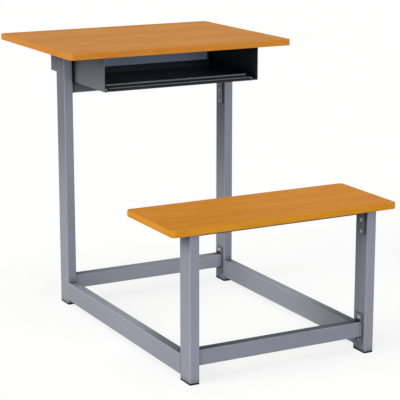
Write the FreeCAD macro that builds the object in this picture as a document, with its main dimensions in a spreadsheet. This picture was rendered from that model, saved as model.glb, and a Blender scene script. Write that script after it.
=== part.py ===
"""School desk with a joined bench: two tube side frames, cross rails, a book box and two boards.

Frame of the model: +X to the sitter's right, +Y from the bench to the desk, +Z up.
The origin is on the floor, in the middle of the whole footprint. Units are millimetres.
"""

import FreeCAD, Part
import math
import os
from types import SimpleNamespace

import Sketcher
from FreeCAD import Placement, Rotation, Vector

# --------------------------------------------------------------------------------------------
# Driving dimensions, by sub-assembly: alias in the sheet, value in millimetres, meaning
# --------------------------------------------------------------------------------------------

SIZES = (
    ("overall_depth", 995, "seat front edge to desktop back edge"),
    ("frame_width", 500, "outer face to outer face of the side frames"),
    ("desk_overhang", 65, "desktop beyond a side frame"),
    ("desk_depth", 480, "desktop along Y"),
    ("desk_height", 700, "floor to writing surface"),
    ("desk_board", 16, "desktop thickness"),
    ("desk_corner", 12, "desktop corner radius in plan"),
    ("desk_band", 2, "desktop edge band thickness"),
    ("desk_arris", 1.5, "rounding of the desktop band"),
    ("seat_overhang", 50, "seat beyond a side frame"),
    ("seat_depth", 240, "seat along Y"),
    ("seat_height", 370, "floor to sitting surface"),
    ("seat_board", 16, "seat thickness"),
    ("seat_corner", 12, "seat corner radius in plan"),
    ("seat_band", 3, "seat lipping thickness"),
    ("seat_arris", 2.5, "rounding of the seat lipping"),
    ("laminate", 0.8, "decorative laminate on both boards"),
    ("backing", 0.6, "balancing sheet under both boards"),
    ("tube_across", 25, "frame tube along X"),
    ("post_deep", 50, "post tube along Y"),
    ("tube_wall", 1.5, "frame tube wall"),
    ("tube_radius", 3, "frame tube outer corner radius"),
    ("desk_setback", 197, "desktop front edge to desk post front face"),
    ("seat_setback", 12, "seat front edge to bench post front face"),
    ("floor_rail_height", 50, "side floor rail tube along Z"),
    ("floor_rail_lift", 12, "floor to underside of the side floor rail"),
    ("cap_base", 4.5, "foot cap under the post"),
    ("cap_plug", 16, "foot cap inside the post"),
    ("cap_gap", 0.3, "running gap between a plastic plug and its tube"),
    ("arm_height", 60, "desktop arm tube along Z"),
    ("arm_length", 31, "desktop arm behind the desk post"),
    ("seat_arm_height", 15, "seat arm tube along Z"),
    ("seat_arm_length", 148, "seat arm behind the bench post"),
    ("plug_base", 2, "arm end plug outside the tube"),
    ("plug_depth", 12, "arm end plug inside the tube"),
    ("head_plate", 3, "plate on top of a post"),
    ("head_flange", 22, "head plate beyond the post's outer face"),
    ("cross_rail_height", 38, "low cross rail tube along Z"),
    ("upper_rail_height", 30, "desk upper rail tube along Z"),
    ("cross_rail_deep", 25, "cross rail tube along Y"),
    ("cross_rail_lift", 39, "floor to underside of the low cross rails"),
    ("seat_bar_thickness", 8, "flat bar under the seat, along Z"),
    ("seat_bar_width", 30, "flat bar under the seat, along Y"),
    ("end_plate", 3, "end plate thickness"),
    ("end_plate_width", 30, "end plate along Y"),
    ("end_plate_corner", 3, "end plate corner radius"),
    ("low_plate_height", 76, "end plate of a low cross rail"),
    ("low_bolt_pitch", 54, "bolts of a low end plate"),
    ("desk_plate_tail", 63, "desk upper end plate below its rail"),
    ("desk_bolt_drop", 24, "upper rail's underside to its first bolt"),
    ("desk_bolt_pitch", 29, "bolts of the desk upper end plate"),
    ("bench_plate_tail", 52, "bench upper end plate below its bar"),
    ("bench_bolt_drop", 16, "seat bar's underside to its first bolt"),
    ("bench_bolt_pitch", 28, "bolts of the bench upper end plate"),
    ("bolt_radius", 4, "frame bolt shank"),
    ("bolt_length", 16, "frame bolt under its head"),
    ("bolt_head_radius", 7, "button head"),
    ("bolt_head_height", 4.4, "button head"),
    ("bolt_socket", 5, "hexagon socket across its flats"),
    ("bolt_socket_depth", 2.6, "hexagon socket"),
    ("bolt_gap", 0.4, "bolt in its plate and wall"),
    ("thread_gap", 0.1, "bolt in its nut, and screw in its board"),
    ("nut_size", 13, "square weld nut"),
    ("nut_thickness", 6.5, "square weld nut"),
    ("box_gap", 5, "book box to a desk post"),
    ("box_depth", 267, "book box outside, along Y"),
    ("box_height", 86, "desktop underside to book box underside"),
    ("box_setback", 10.5, "desktop front edge to book box front"),
    ("sheet", 1.5, "book box sheet steel"),
    ("box_top_flange", 18, "book box flange under the desktop"),
    ("box_foot_flange", 20, "book box flange under its floor"),
    ("floor_hem", 12, "fold under the front edge of the box floor"),
    ("groove_setback", 14, "book box front to the middle of the low bead"),
    ("groove_bead", 3.3, "radius of the low bead in front of the pencil groove"),
    ("groove_rise", 1.4, "box floor to the low bead's centre"),
    ("lip_setback", 34, "book box front to the middle of the lip"),
    ("lip_height", 7.4, "box floor to the centre of the lip's rolled top"),
    ("lip_roll", 3.4, "radius of the lip's rolled top"),
    ("lip_foot", 10, "lip's foot on the box floor"),
    ("lip_end", 16.5, "end of lip and bead to the side panel"),
    ("band_height", 60, "stiffener on the back wall"),
    ("band_end", 6, "stiffener's end to the side panel"),
    ("screw_radius", 2, "wood screw shank"),
    ("screw_head_radius", 4, "pan head"),
    ("screw_head_height", 2.4, "pan head"),
    ("screw_bite", 11, "wood screw in its board"),
    ("rivet_radius", 1.6, "box rivet shank"),
    ("rivet_head_radius", 3.2, "box rivet head"),
    ("rivet_head_height", 1.2, "box rivet head"),
    ("rivet_pitch", 64, "between the box rivets"),
    ("corner_screw_setback", 16, "book box front to its corner screws"),
    ("corner_screw_length", 8, "corner screw under its head"),
    ("end_margin", 30, "first and last fixing to the end of its flange"),
    ("post_top_margin", 12, "first and last fixing to the end of a head plate"),
    ("bar_screw_pitch", 150, "screws through the seat bar"),
)

LEFT, RIGHT = -1, 1


class Size:
    """A length: the expression that the document keeps, and what it is worth now."""

    def __init__(self, text, value):
        self.text = text
        self.value = float(value)

    @staticmethod
    def of(value):
        return value if isinstance(value, Size) else Size(repr(value), value)

    def join(self, sign, other, value):
        return Size(f"({self.text} {sign} {other.text})", value)

    def __add__(self, other):
        other = Size.of(other)
        return self.join("+", other, self.value + other.value)

    def __radd__(self, other):
        return Size.of(other) + self

    def __sub__(self, other):
        other = Size.of(other)
        return self.join("-", other, self.value - other.value)

    def __rsub__(self, other):
        return Size.of(other) - self

    def __mul__(self, other):
        other = Size.of(other)
        return self.join("*", other, self.value * other.value)

    def __rmul__(self, other):
        return Size.of(other) * self

    def __truediv__(self, other):
        other = Size.of(other)
        return self.join("/", other, self.value / other.value)

    def __neg__(self):
        return Size.of(0) - self


def make_sheet(doc):
    """Fill the sheet and return its cells as sizes, each under its alias."""
    sheet = doc.addObject("Spreadsheet::Sheet", "sizes")
    for row, (alias, value, meaning) in enumerate(SIZES, start=1):
        sheet.set(f"A{row}", meaning)
        sheet.set(f"B{row}", str(value))
        sheet.setAlias(f"B{row}", alias)
    doc.recompute()
    return SimpleNamespace(
        **{alias: Size(f"sizes.{alias}", sheet.get(alias)) for alias, _, _ in SIZES}
    )


doc = FreeCAD.newDocument("school_desk")
s = make_sheet(doc)
nodes = []

# --------------------------------------------------------------------------------------------
# Places that several pieces share
# --------------------------------------------------------------------------------------------

desk_width = s.frame_width + 2 * s.desk_overhang
seat_width = s.frame_width + 2 * s.seat_overhang
desk_back = s.overall_depth / 2
desk_front = desk_back - s.desk_depth
desk_under = s.desk_height - s.desk_board
seat_front = -s.overall_depth / 2
seat_under = s.seat_height - s.seat_board
desk_post_front = desk_front + s.desk_setback
desk_post_back = desk_post_front + s.post_deep
bench_post_front = seat_front + s.seat_setback
bench_post_back = bench_post_front + s.post_deep
frame_inside = s.frame_width / 2 - s.tube_across
rail_end = frame_inside - s.end_plate
low_rail_middle = s.cross_rail_lift + s.cross_rail_height / 2
box_under = desk_under - s.box_height
box_front = desk_front + s.box_setback
box_back = box_front + s.box_depth
box_outside = frame_inside - s.box_gap
box_inside = box_outside - s.sheet
box_floor_top = box_under + 2 * s.sheet
desk_rail_under = box_under - s.upper_rail_height
seat_bar_under = seat_under - s.seat_bar_thickness

LOW_BOLTS = (low_rail_middle - s.low_bolt_pitch / 2, low_rail_middle + s.low_bolt_pitch / 2)
DESK_BOLTS = (
    desk_rail_under - s.desk_bolt_drop - s.desk_bolt_pitch,
    desk_rail_under - s.desk_bolt_drop,
)
BENCH_BOLTS = (
    seat_bar_under - s.bench_bolt_drop - s.bench_bolt_pitch,
    seat_bar_under - s.bench_bolt_drop,
)

# --------------------------------------------------------------------------------------------
# Drawing tools
# --------------------------------------------------------------------------------------------

PLANE_ALONG = {"X": "YZ_Plane", "Y": "XZ_Plane", "Z": "XY_Plane"}


def bind(target, name, size):
    """Let a property of the document follow a size."""
    target.setExpression(name, Size.of(size).text)


def place(target, x, y, z):
    for axis, size in zip("xyz", (x, y, z)):
        bind(target, f"Placement.Base.{axis}", size)


def new_body(label, x, y, z):
    body = doc.addObject("PartDesign::Body", label)
    body.Label = label
    place(body, x, y, z)
    nodes.append(body)
    return body


def new_sketch(body, along, offset=0):
    """A sketch square to an axis of the body, offset along that axis."""
    sketch = body.newObject("Sketcher::SketchObject", f"{body.Label}_sketch")
    plane = [f for f in body.Origin.OriginFeatures if f.Role == PLANE_ALONG[along]][0]
    sketch.AttachmentSupport = [(plane, "")]
    sketch.MapMode = "FlatFace"
    offset = Size.of(offset)
    bind(sketch, "AttachmentOffset.Base.z", -offset if along == "Y" else offset)
    return sketch


def hold(sketch, kind, where, size):
    """Add a constraint with a length, and let the length follow a size."""
    size = Size.of(size)
    index = sketch.addConstraint(Sketcher.Constraint(kind, *where, size.value))
    bind(sketch, f"Constraints[{index}]", size)


def hold_point(sketch, geometry, end, x, y):
    """Hold one point at its distances from the sketch's axes."""
    for kind, axis, size in (("DistanceX", -2, x), ("DistanceY", -1, y)):
        if size is None:
            continue
        size = Size.of(size)
        if size.value == 0:
            sketch.addConstraint(Sketcher.Constraint("PointOnObject", geometry, end, axis))
        else:
            hold(sketch, kind, (-1, 1, geometry, end), size)


def polygon(sketch, points):
    """A closed outline through points, each a pair of sizes."""
    first = sketch.GeometryCount
    ends = [Vector(Size.of(x).value, Size.of(y).value, 0) for x, y in points]
    count = len(points)
    for index in range(count):
        sketch.addGeometry(Part.LineSegment(ends[index], ends[(index + 1) % count]))
    for index in range(count):
        following = first + (index + 1) % count
        sketch.addConstraint(Sketcher.Constraint("Coincident", first + index, 2, following, 1))
    for index, (x, y) in enumerate(points):
        hold_point(sketch, first + index, 1, x, y)


def rectangle(sketch, x, y, width, height):
    x, y = Size.of(x), Size.of(y)
    polygon(sketch, ((x, y), (x + width, y), (x + width, y + height), (x, y + height)))


def rounded_rectangle(sketch, x, y, width, height, radius):
    """A rectangle with four equal arcs at its corners."""
    x, y, width, height, radius = map(Size.of, (x, y, width, height, radius))
    low, high = radius.value, Vector(width.value - radius.value, height.value - radius.value, 0)
    start = Vector(x.value, y.value, 0)
    centres = (Vector(high.x, low, 0), high, Vector(low, high.y, 0), Vector(low, low, 0))
    first = sketch.GeometryCount
    for turn, centre in enumerate(centres):
        angle = (turn - 1) * math.pi / 2
        before = centres[turn - 1]
        outward = Vector(math.cos(angle), math.sin(angle), 0) * radius.value
        sketch.addGeometry(Part.LineSegment(start + before + outward, start + centre + outward))
        circle = Part.Circle(start + centre, Vector(0, 0, 1), radius.value)
        sketch.addGeometry(Part.ArcOfCircle(circle, angle, angle + math.pi / 2))
    for turn in range(4):
        line, arc, following = (first + (2 * turn + step) % 8 for step in range(3))
        sketch.addConstraint(Sketcher.Constraint("Tangent", line, 2, arc, 1))
        sketch.addConstraint(Sketcher.Constraint("Tangent", arc, 2, following, 1))
        sketch.addConstraint(Sketcher.Constraint("Vertical" if turn % 2 else "Horizontal", line))
    for turn in range(1, 4):
        sketch.addConstraint(Sketcher.Constraint("Equal", first + 1, first + 2 * turn + 1))
    bottom, right, top, left = (first + 2 * turn for turn in range(4))
    hold(sketch, "Radius", (first + 1,), radius)
    hold(sketch, "DistanceX", (left, 1, right, 1), width)
    hold(sketch, "DistanceY", (bottom, 1, top, 1), height)
    hold_point(sketch, left, 1, x, None)
    hold_point(sketch, bottom, 1, None, y)


def circles(sketch, centres, radius):
    for x, y in centres:
        x, y, radius = Size.of(x), Size.of(y), Size.of(radius)
        middle = Vector(x.value, y.value, 0)
        index = sketch.addGeometry(Part.Circle(middle, Vector(0, 0, 1), radius.value))
        hold(sketch, "Radius", (index,), radius)
        hold_point(sketch, index, 3, x, y)


def pad(body, sketch, along, length):
    """Pad a sketch towards the positive side of its axis."""
    feature = body.newObject("PartDesign::Pad", f"{body.Label}_pad")
    feature.Profile = sketch
    feature.Reversed = along == "Y"
    bind(feature, "Length", length)
    doc.recompute()
    return feature


def pocket(body, sketch, along, length, towards):
    """Cut a sketch away towards the positive (1) or negative (-1) side of its axis."""
    volume = body.Shape.Volume
    feature = body.newObject("PartDesign::Pocket", f"{body.Label}_pocket")
    feature.Profile = sketch
    feature.Reversed = (towards > 0) != (along == "Y")
    bind(feature, "Length", length)
    doc.recompute()
    if feature.Shape.Volume >= volume - 1e-6:
        raise RuntimeError(f"{body.Label}: a pocket cuts nothing")
    return feature


def round_edges(body, radius, wanted):
    """Round the edges of the body's tip for which wanted(edge) is true."""
    base = body.Tip
    names = [f"Edge{n}" for n, edge in enumerate(base.Shape.Edges, start=1) if wanted(edge)]
    feature = body.newObject("PartDesign::Fillet", f"{body.Label}_fillet")
    feature.Base = (base, names)
    bind(feature, "Radius", radius)
    doc.recompute()
    return feature


def tube_section(sketch, across, high):
    """The section of a rectangular tube with rounded corners."""
    wall, radius = s.tube_wall, s.tube_radius
    rounded_rectangle(sketch, 0, 0, across, high, radius)
    rounded_rectangle(sketch, wall, wall, across - 2 * wall, high - 2 * wall, radius - wall)


def tube(label, along, corner, across, high, length):
    """A straight tube from its lowest corner; across and high run in axis order."""
    body = new_body(label, *corner)
    sketch = new_sketch(body, along)
    tube_section(sketch, across, high)
    pad(body, sketch, along, length)
    return body


def plugged_plate(label, along, corner, across, high, base, plug, sign):
    """A plastic cap: a plate over a tube's end and a plug inside; the plug points to sign."""
    body = new_body(label, *corner)
    outline = new_sketch(body, along)
    rounded_rectangle(outline, 0, 0, across, high, s.tube_radius)
    pad(body, outline, along, base)
    gap = s.tube_wall + s.cap_gap
    inner = new_sketch(body, along, base if sign > 0 else -plug)
    rounded_rectangle(inner, gap, gap, across - 2 * gap, high - 2 * gap, s.tube_radius - s.tube_wall)
    pad(body, inner, along, plug)
    return body


def group(label, shape, places):
    """Identical fasteners in one node: copies of one shape, each at its own placement."""
    copies = [shape.transformed(placement.toMatrix()) for placement in places]
    feature = doc.addObject("Part::Feature", label)
    feature.Label = label
    feature.Shape = Part.makeCompound(copies)
    feature.Placement = Placement()
    nodes.append(feature)
    return feature


def at(x, y, z, rotation=Rotation()):
    return Placement(Vector(*(Size.of(size).value for size in (x, y, z))), rotation)


def side_name(side):
    return "left" if side == LEFT else "right"


def side_x(side, inner, width):
    """Lowest X of a piece that reaches from inner outwards by width, on either side."""
    return inner if side == RIGHT else -(inner + width)


# --------------------------------------------------------------------------------------------
# Boards
# --------------------------------------------------------------------------------------------


def board(name, x, y, top, width, depth, thickness, corner, band, arris, holes):
    """A laminated board: core, laminate, backing and edge band. holes are in the board's frame."""
    corner_inside = corner - band
    inner = (band, band, width - 2 * band, depth - 2 * band, corner_inside)
    hole_radius = s.screw_radius + s.thread_gap

    core = new_body(f"{name}_core", x, y, top - thickness + s.backing)
    outline = new_sketch(core, "Z")
    rounded_rectangle(outline, *inner)
    pad(core, outline, "Z", thickness - s.backing - s.laminate)
    pilots = new_sketch(core, "Z")
    circles(pilots, holes, hole_radius)
    pocket(core, pilots, "Z", s.screw_bite + s.thread_gap, 1)

    backing = new_body(f"{name}_backing", x, y, top - thickness)
    outline = new_sketch(backing, "Z")
    rounded_rectangle(outline, *inner)
    circles(outline, holes, hole_radius)
    pad(backing, outline, "Z", s.backing)

    laminate = new_body(f"{name}_laminate", x, y, top - s.laminate)
    outline = new_sketch(laminate, "Z")
    rounded_rectangle(outline, *inner)
    pad(laminate, outline, "Z", s.laminate)

    edging = new_body(f"{name}_edge_band", x, y, top - thickness)
    outline = new_sketch(edging, "Z")
    rounded_rectangle(outline, 0, 0, width, depth, corner)
    rounded_rectangle(outline, *inner)
    pad(edging, outline, "Z", thickness)

    def is_outer_rim(edge):
        box = edge.BoundBox
        if box.ZLength > 0.1:
            return False
        if isinstance(edge.Curve, Part.Circle):
            return abs(edge.Curve.Radius - corner.value) < 0.01
        reach = (box.XMin, box.YMin, width.value - box.XMax, depth.value - box.YMax)
        return min(reach) < 0.01

    round_edges(edging, arris, is_outer_rim)


def spread(first, last, count):
    """Evenly spaced places from first to last."""
    return [first + (last - first) * step / (count - 1) for step in range(count)]


head_screw_x = s.frame_width / 2 + s.head_flange / 2
desk_plate_length = s.post_deep + s.arm_length + s.plug_base
desk_head_ys = spread(
    desk_post_front + s.post_top_margin,
    desk_post_front + desk_plate_length - s.post_top_margin,
    3,
)
seat_plate_length = s.post_deep + s.seat_arm_length + s.plug_base
seat_head_ys = spread(
    bench_post_front + s.post_top_margin,
    bench_post_front + seat_plate_length - s.post_top_margin,
    3,
)
flange_screw_x = box_inside - s.box_top_flange / 2
flange_screw_ys = spread(box_front + s.end_margin, box_back - s.end_margin, 3)
back_screw_y = box_back - s.sheet - s.box_top_flange / 2
seat_bar_y = bench_post_front + s.post_deep / 2


def both_sides(x, ys):
    return [(side * x, y) for side in (LEFT, RIGHT) for y in ys]


desk_head_screws = both_sides(head_screw_x, desk_head_ys)
box_flange_screws = both_sides(flange_screw_x, flange_screw_ys) + both_sides(
    box_outside / 2, [back_screw_y]
)
seat_head_screws = both_sides(head_screw_x, seat_head_ys)
seat_bar_screws = [(step * s.bar_screw_pitch, seat_bar_y) for step in (-1, 0, 1)]


def in_board(places, x, y):
    return [(hole_x - x, hole_y - y) for hole_x, hole_y in places]


def make_boards():
    desk_x, seat_x = -desk_width / 2, -seat_width / 2
    board(
        "desktop", desk_x, desk_front, s.desk_height, desk_width, s.desk_depth, s.desk_board,
        s.desk_corner, s.desk_band, s.desk_arris,
        in_board(desk_head_screws + box_flange_screws, desk_x, desk_front),
    )
    board(
        "seat", seat_x, seat_front, s.seat_height, seat_width, s.seat_depth, s.seat_board,
        s.seat_corner, s.seat_band, s.seat_arris,
        in_board(seat_head_screws + seat_bar_screws, seat_x, seat_front),
    )


# --------------------------------------------------------------------------------------------
# Side frames
# --------------------------------------------------------------------------------------------


def post(label, side, front, top, bolts):
    """An upright tube, with bolt holes through its inner wall only."""
    x = side_x(side, frame_inside, s.tube_across)
    body = tube(label, "Z", (x, front, s.cap_base), s.tube_across, s.post_deep, top - s.cap_base)
    sketch = new_sketch(body, "X", s.tube_across if side == LEFT else 0)
    centres = [(s.post_deep / 2, height - s.cap_base) for height in bolts]
    circles(sketch, centres, s.bolt_radius + s.bolt_gap)
    pocket(body, sketch, "X", 2 * s.tube_wall, side)
    return body


def head_plate(label, side, front, top, length, screw_ys):
    """The plate that closes a post and its arm and carries the board on a flange outside."""
    width = s.tube_across + s.head_flange
    x = side_x(side, frame_inside, width)
    body = new_body(label, x, front, top - s.head_plate)
    sketch = new_sketch(body, "Z")
    rounded_rectangle(sketch, 0, 0, width, length, s.end_plate_corner)
    centres = [(side * head_screw_x - x, y - front) for y in screw_ys]
    circles(sketch, centres, s.screw_radius + s.thread_gap)
    pad(body, sketch, "Z", s.head_plate)
    return body


def arm(label, side, back, top, height, length):
    """A short tube behind a post, its outer face flush with the post's, and its end plug."""
    x = side_x(side, frame_inside, s.tube_across)
    under = top - s.head_plate - height
    tube(label, "Y", (x, back, under), s.tube_across, height, length)
    plugged_plate(
        f"{label}_plug", "Y", (x, back + length, under), s.tube_across, height,
        s.plug_base, s.plug_depth, -1,
    )


def foot_cap(label, side, front):
    x = side_x(side, frame_inside, s.tube_across)
    plugged_plate(
        label, "Z", (x, front, 0), s.tube_across, s.post_deep, s.cap_base, s.cap_plug, 1
    )


def make_side_frame(side):
    name = side_name(side)
    desk_head, seat_head = desk_under - s.head_plate, seat_under - s.head_plate
    post(f"{name}_desk_post", side, desk_post_front, desk_head, LOW_BOLTS + DESK_BOLTS)
    post(f"{name}_bench_post", side, bench_post_front, seat_head, LOW_BOLTS + BENCH_BOLTS)
    tube(
        f"{name}_floor_rail", "Y",
        (side_x(side, frame_inside, s.tube_across), bench_post_back, s.floor_rail_lift),
        s.tube_across, s.floor_rail_height, desk_post_front - bench_post_back,
    )
    arm(f"{name}_desk_arm", side, desk_post_back, desk_under, s.arm_height, s.arm_length)
    arm(
        f"{name}_seat_arm", side, bench_post_back, seat_under, s.seat_arm_height,
        s.seat_arm_length,
    )
    head_plate(
        f"{name}_desk_head_plate", side, desk_post_front, desk_under, desk_plate_length,
        desk_head_ys,
    )
    head_plate(
        f"{name}_seat_head_plate", side, bench_post_front, seat_under, seat_plate_length,
        seat_head_ys,
    )
    foot_cap(f"{name}_desk_foot_cap", side, desk_post_front)
    foot_cap(f"{name}_bench_foot_cap", side, bench_post_front)


# --------------------------------------------------------------------------------------------
# Cross rails, their end plates and their bolts
# --------------------------------------------------------------------------------------------


def cross_rail(label, post_front, under, height, holes=()):
    """A tube from end plate to end plate, in the middle of the posts' depth."""
    y = post_front + (s.post_deep - s.cross_rail_deep) / 2
    body = tube(label, "X", (-rail_end, y, under), s.cross_rail_deep, height, 2 * rail_end)
    if holes:
        sketch = new_sketch(body, "Z", height)
        centres = [(x + rail_end, s.cross_rail_deep / 2) for x in holes]
        circles(sketch, centres, s.screw_radius + s.thread_gap)
        pocket(body, sketch, "Z", 2 * s.tube_wall, LEFT)
    return body


def end_plates(label, post_front, under, top, bolts):
    """The two plates welded to a rail's ends, with two bolt holes each."""
    for side in (LEFT, RIGHT):
        x = side_x(side, rail_end, s.end_plate)
        y = post_front + (s.post_deep - s.end_plate_width) / 2
        body = new_body(f"{label}_{side_name(side)}_plate", x, y, under)
        sketch = new_sketch(body, "X")
        rounded_rectangle(sketch, 0, 0, s.end_plate_width, top - under, s.end_plate_corner)
        centres = [(s.end_plate_width / 2, height - under) for height in bolts]
        circles(sketch, centres, s.bolt_radius + s.bolt_gap)
        pad(body, sketch, "X", s.end_plate)


def seat_bar():
    """The flat bar between the bench posts, right under the seat."""
    body = new_body("bench_seat_bar", -rail_end, seat_bar_y - s.seat_bar_width / 2, seat_bar_under)
    sketch = new_sketch(body, "Z")
    rectangle(sketch, 0, 0, 2 * rail_end, s.seat_bar_width)
    centres = [(x + rail_end, s.seat_bar_width / 2) for x, _ in seat_bar_screws]
    circles(sketch, centres, s.screw_radius + s.thread_gap)
    pad(body, sketch, "Z", s.seat_bar_thickness)


def make_cross_rails():
    low_plate_under = low_rail_middle - s.low_plate_height / 2
    low_plate_top = low_rail_middle + s.low_plate_height / 2
    rail_screws = (-box_rail_screw_x, box_rail_screw_x)
    upper, low = s.upper_rail_height, s.cross_rail_height
    cross_rail("desk_upper_rail", desk_post_front, desk_rail_under, upper, rail_screws)
    cross_rail("desk_lower_rail", desk_post_front, s.cross_rail_lift, low)
    cross_rail("bench_lower_rail", bench_post_front, s.cross_rail_lift, low)
    seat_bar()
    end_plates(
        "desk_upper_rail", desk_post_front, desk_rail_under - s.desk_plate_tail, box_under,
        DESK_BOLTS,
    )
    end_plates("desk_lower_rail", desk_post_front, low_plate_under, low_plate_top, LOW_BOLTS)
    end_plates("bench_lower_rail", bench_post_front, low_plate_under, low_plate_top, LOW_BOLTS)
    end_plates(
        "bench_seat_bar", bench_post_front, seat_bar_under - s.bench_plate_tail, seat_under,
        BENCH_BOLTS,
    )


def button_bolt():
    """A button head bolt along +Z, its head's flat side at the origin and its head above."""
    head_radius, head_height = s.bolt_head_radius.value, s.bolt_head_height.value
    dome_radius = (head_radius**2 + head_height**2) / (2 * head_height)
    dome = Part.makeSphere(dome_radius, Vector(0, 0, head_height - dome_radius))
    head = Part.makeCylinder(head_radius, head_height).common(dome)
    circle_radius = s.bolt_socket.value / math.sqrt(3)
    corners = [
        Vector(circle_radius * math.cos(turn), circle_radius * math.sin(turn), head_height)
        for turn in (math.radians(60 * step) for step in range(7))
    ]
    socket = Part.Face(Part.makePolygon(corners)).extrude(
        Vector(0, 0, -s.bolt_socket_depth.value)
    )
    shank = Part.makeCylinder(
        s.bolt_radius.value, s.bolt_length.value, Vector(0, 0, -s.bolt_length.value)
    )
    return head.cut(socket).fuse(shank).removeSplitter()


def weld_nut():
    """A square nut along +Z, its lower side at the origin."""
    size, thickness = s.nut_size.value, s.nut_thickness.value
    block = Part.makeBox(size, size, thickness, Vector(-size / 2, -size / 2, 0))
    return block.cut(Part.makeCylinder(s.bolt_radius.value + s.thread_gap.value, thickness))


def bolt_places(inner):
    """The sixteen bolted places at the distance inner from the middle, +Z turned inwards."""
    rows = [(desk_post_front, LOW_BOLTS + DESK_BOLTS), (bench_post_front, LOW_BOLTS + BENCH_BOLTS)]
    places = []
    for side in (LEFT, RIGHT):
        turn = Rotation(Vector(0, 0, 1), Vector(-side, 0, 0))
        for front, heights in rows:
            places += [at(side * inner, front + s.post_deep / 2, z, turn) for z in heights]
    return places


def make_frame_fasteners():
    group("frame_bolts", button_bolt(), bolt_places(rail_end))
    nut_face = frame_inside + s.tube_wall + s.nut_thickness
    group("frame_weld_nuts", weld_nut(), bolt_places(nut_face))


# --------------------------------------------------------------------------------------------
# Book box under the desktop
# --------------------------------------------------------------------------------------------

box_rail_screw_x = box_inside - s.box_foot_flange / 2
first_rivet_y = box_front + s.corner_screw_setback + s.rivet_pitch
rivet_ys = [first_rivet_y, first_rivet_y + s.rivet_pitch, box_back - s.end_margin]


def box_side_panel(side):
    """A folded side: a web with a flange under the desktop and one under the box floor."""
    top, foot = s.box_top_flange, s.box_foot_flange
    sheet, height, reach = s.sheet, s.box_height, s.sheet + s.box_top_flange
    body = new_body(
        f"box_{side_name(side)}_panel", side_x(side, box_outside - reach, reach),
        box_front, box_under,
    )

    def mirrored(points):
        """The outline is drawn for the left panel, whose web is at zero."""
        return points if side == LEFT else [(reach - x, z) for x, z in points]

    section = new_sketch(body, "Y")
    polygon(section, mirrored([
        (0, 0), (sheet + foot, 0), (sheet + foot, sheet), (sheet, sheet),
        (sheet, height - sheet), (sheet + top, height - sheet), (sheet + top, height), (0, height),
    ]))
    pad(body, section, "Y", s.box_depth)
    offset = reach / 2 + side * (reach / 2 - sheet)
    screws = new_sketch(body, "Z", height)
    circles(
        screws, [(offset - side * top / 2, y - box_front) for y in flange_screw_ys],
        s.screw_radius + s.thread_gap,
    )
    pocket(body, screws, "Z", 2 * sheet, LEFT)
    foot_holes = new_sketch(body, "Z")
    floor_fixings(foot_holes, offset - side * foot / 2)
    pocket(body, foot_holes, "Z", 2 * sheet, RIGHT)


def floor_fixings(sketch, x):
    """The holes of one foot flange, at x in the sketch, which starts at the box's front."""
    circles(sketch, [(x, y - box_front) for y in rivet_ys], s.rivet_radius + s.thread_gap)
    screws = (s.corner_screw_setback, desk_post_front + s.post_deep / 2 - box_front)
    circles(sketch, [(x, y) for y in screws], s.screw_radius + s.thread_gap)


def box_floor():
    """The floor sheet, with its front edge folded under between the foot flanges."""
    width, sheet = 2 * box_inside, s.sheet
    body = new_body("box_floor", -box_inside, box_front, box_under + sheet)
    outline = new_sketch(body, "Z")
    rectangle(outline, 0, 0, width, s.box_depth - sheet)
    pad(body, outline, "Z", sheet)
    fold = new_sketch(body, "Z", -sheet)
    fold_end = s.box_foot_flange + s.cap_gap
    rectangle(fold, fold_end, 0, width - 2 * fold_end, s.floor_hem)
    pad(body, fold, "Z", sheet)
    holes = new_sketch(body, "Z", sheet)
    for x in (s.box_foot_flange / 2, width - s.box_foot_flange / 2):
        floor_fixings(holes, x)
    pocket(body, holes, "Z", 2 * sheet, LEFT)


def box_back_wall():
    """The back sheet, with a flange under the desktop and one on the floor."""
    sheet, top, foot = s.sheet, s.box_top_flange, s.box_foot_flange
    height = s.box_height - 2 * sheet
    body = new_body("box_back_wall", -box_inside, box_back - sheet - top, box_under + 2 * sheet)
    section = new_sketch(body, "X")
    web = top + sheet
    polygon(section, [
        (top - foot, 0), (web, 0), (web, height), (0, height), (0, height - sheet),
        (top, height - sheet), (top, sheet), (top - foot, sheet),
    ])
    pad(body, section, "X", 2 * box_inside)
    ends = new_sketch(body, "Z", height)
    end = s.box_top_flange + s.cap_gap
    for x in (0, 2 * box_inside - end):
        rectangle(ends, x, 0, end, web)
    pocket(body, ends, "Z", sheet, LEFT)
    screws = new_sketch(body, "Z", height)
    circles(
        screws, [(box_inside + side * box_outside / 2, top / 2) for side in (LEFT, RIGHT)],
        s.screw_radius + s.thread_gap,
    )
    pocket(body, screws, "Z", 2 * sheet, LEFT)


def box_strip(label, y, points, roll_height, roll_radius):
    """A strip across the box: a section in Y and Z from the box floor, and a roll on it."""
    reach = box_inside - s.lip_end
    body = new_body(label, -reach, y, box_floor_top)
    section = new_sketch(body, "X")
    polygon(section, points)
    pad(body, section, "X", 2 * reach)
    roll = new_sketch(body, "X")
    circles(roll, [(0, roll_height)], roll_radius)
    pad(body, roll, "X", 2 * reach)
    return body


def box_front_edge():
    """The low bead and the lip behind it, with the pencil groove between them."""
    bead, rise = s.groove_bead, s.groove_rise
    body = box_strip("box_groove_bead", box_front + s.groove_setback, [
        (-bead, 0), (bead, 0), (bead, rise), (-bead, rise),
    ], rise, bead)
    below = new_sketch(body, "X")
    rectangle(below, -bead, -bead, 2 * bead, bead)
    pocket(body, below, "X", 2 * (box_inside - s.lip_end), RIGHT)
    front = -s.sheet / 2
    box_strip("box_front_lip", box_front + s.lip_setback, [
        (front, 0), (front + s.lip_foot, 0), (front + s.lip_foot, s.sheet),
        (front + s.sheet, s.sheet), (front + s.sheet, s.lip_height), (front, s.lip_height),
    ], s.lip_height, s.lip_roll)


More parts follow.
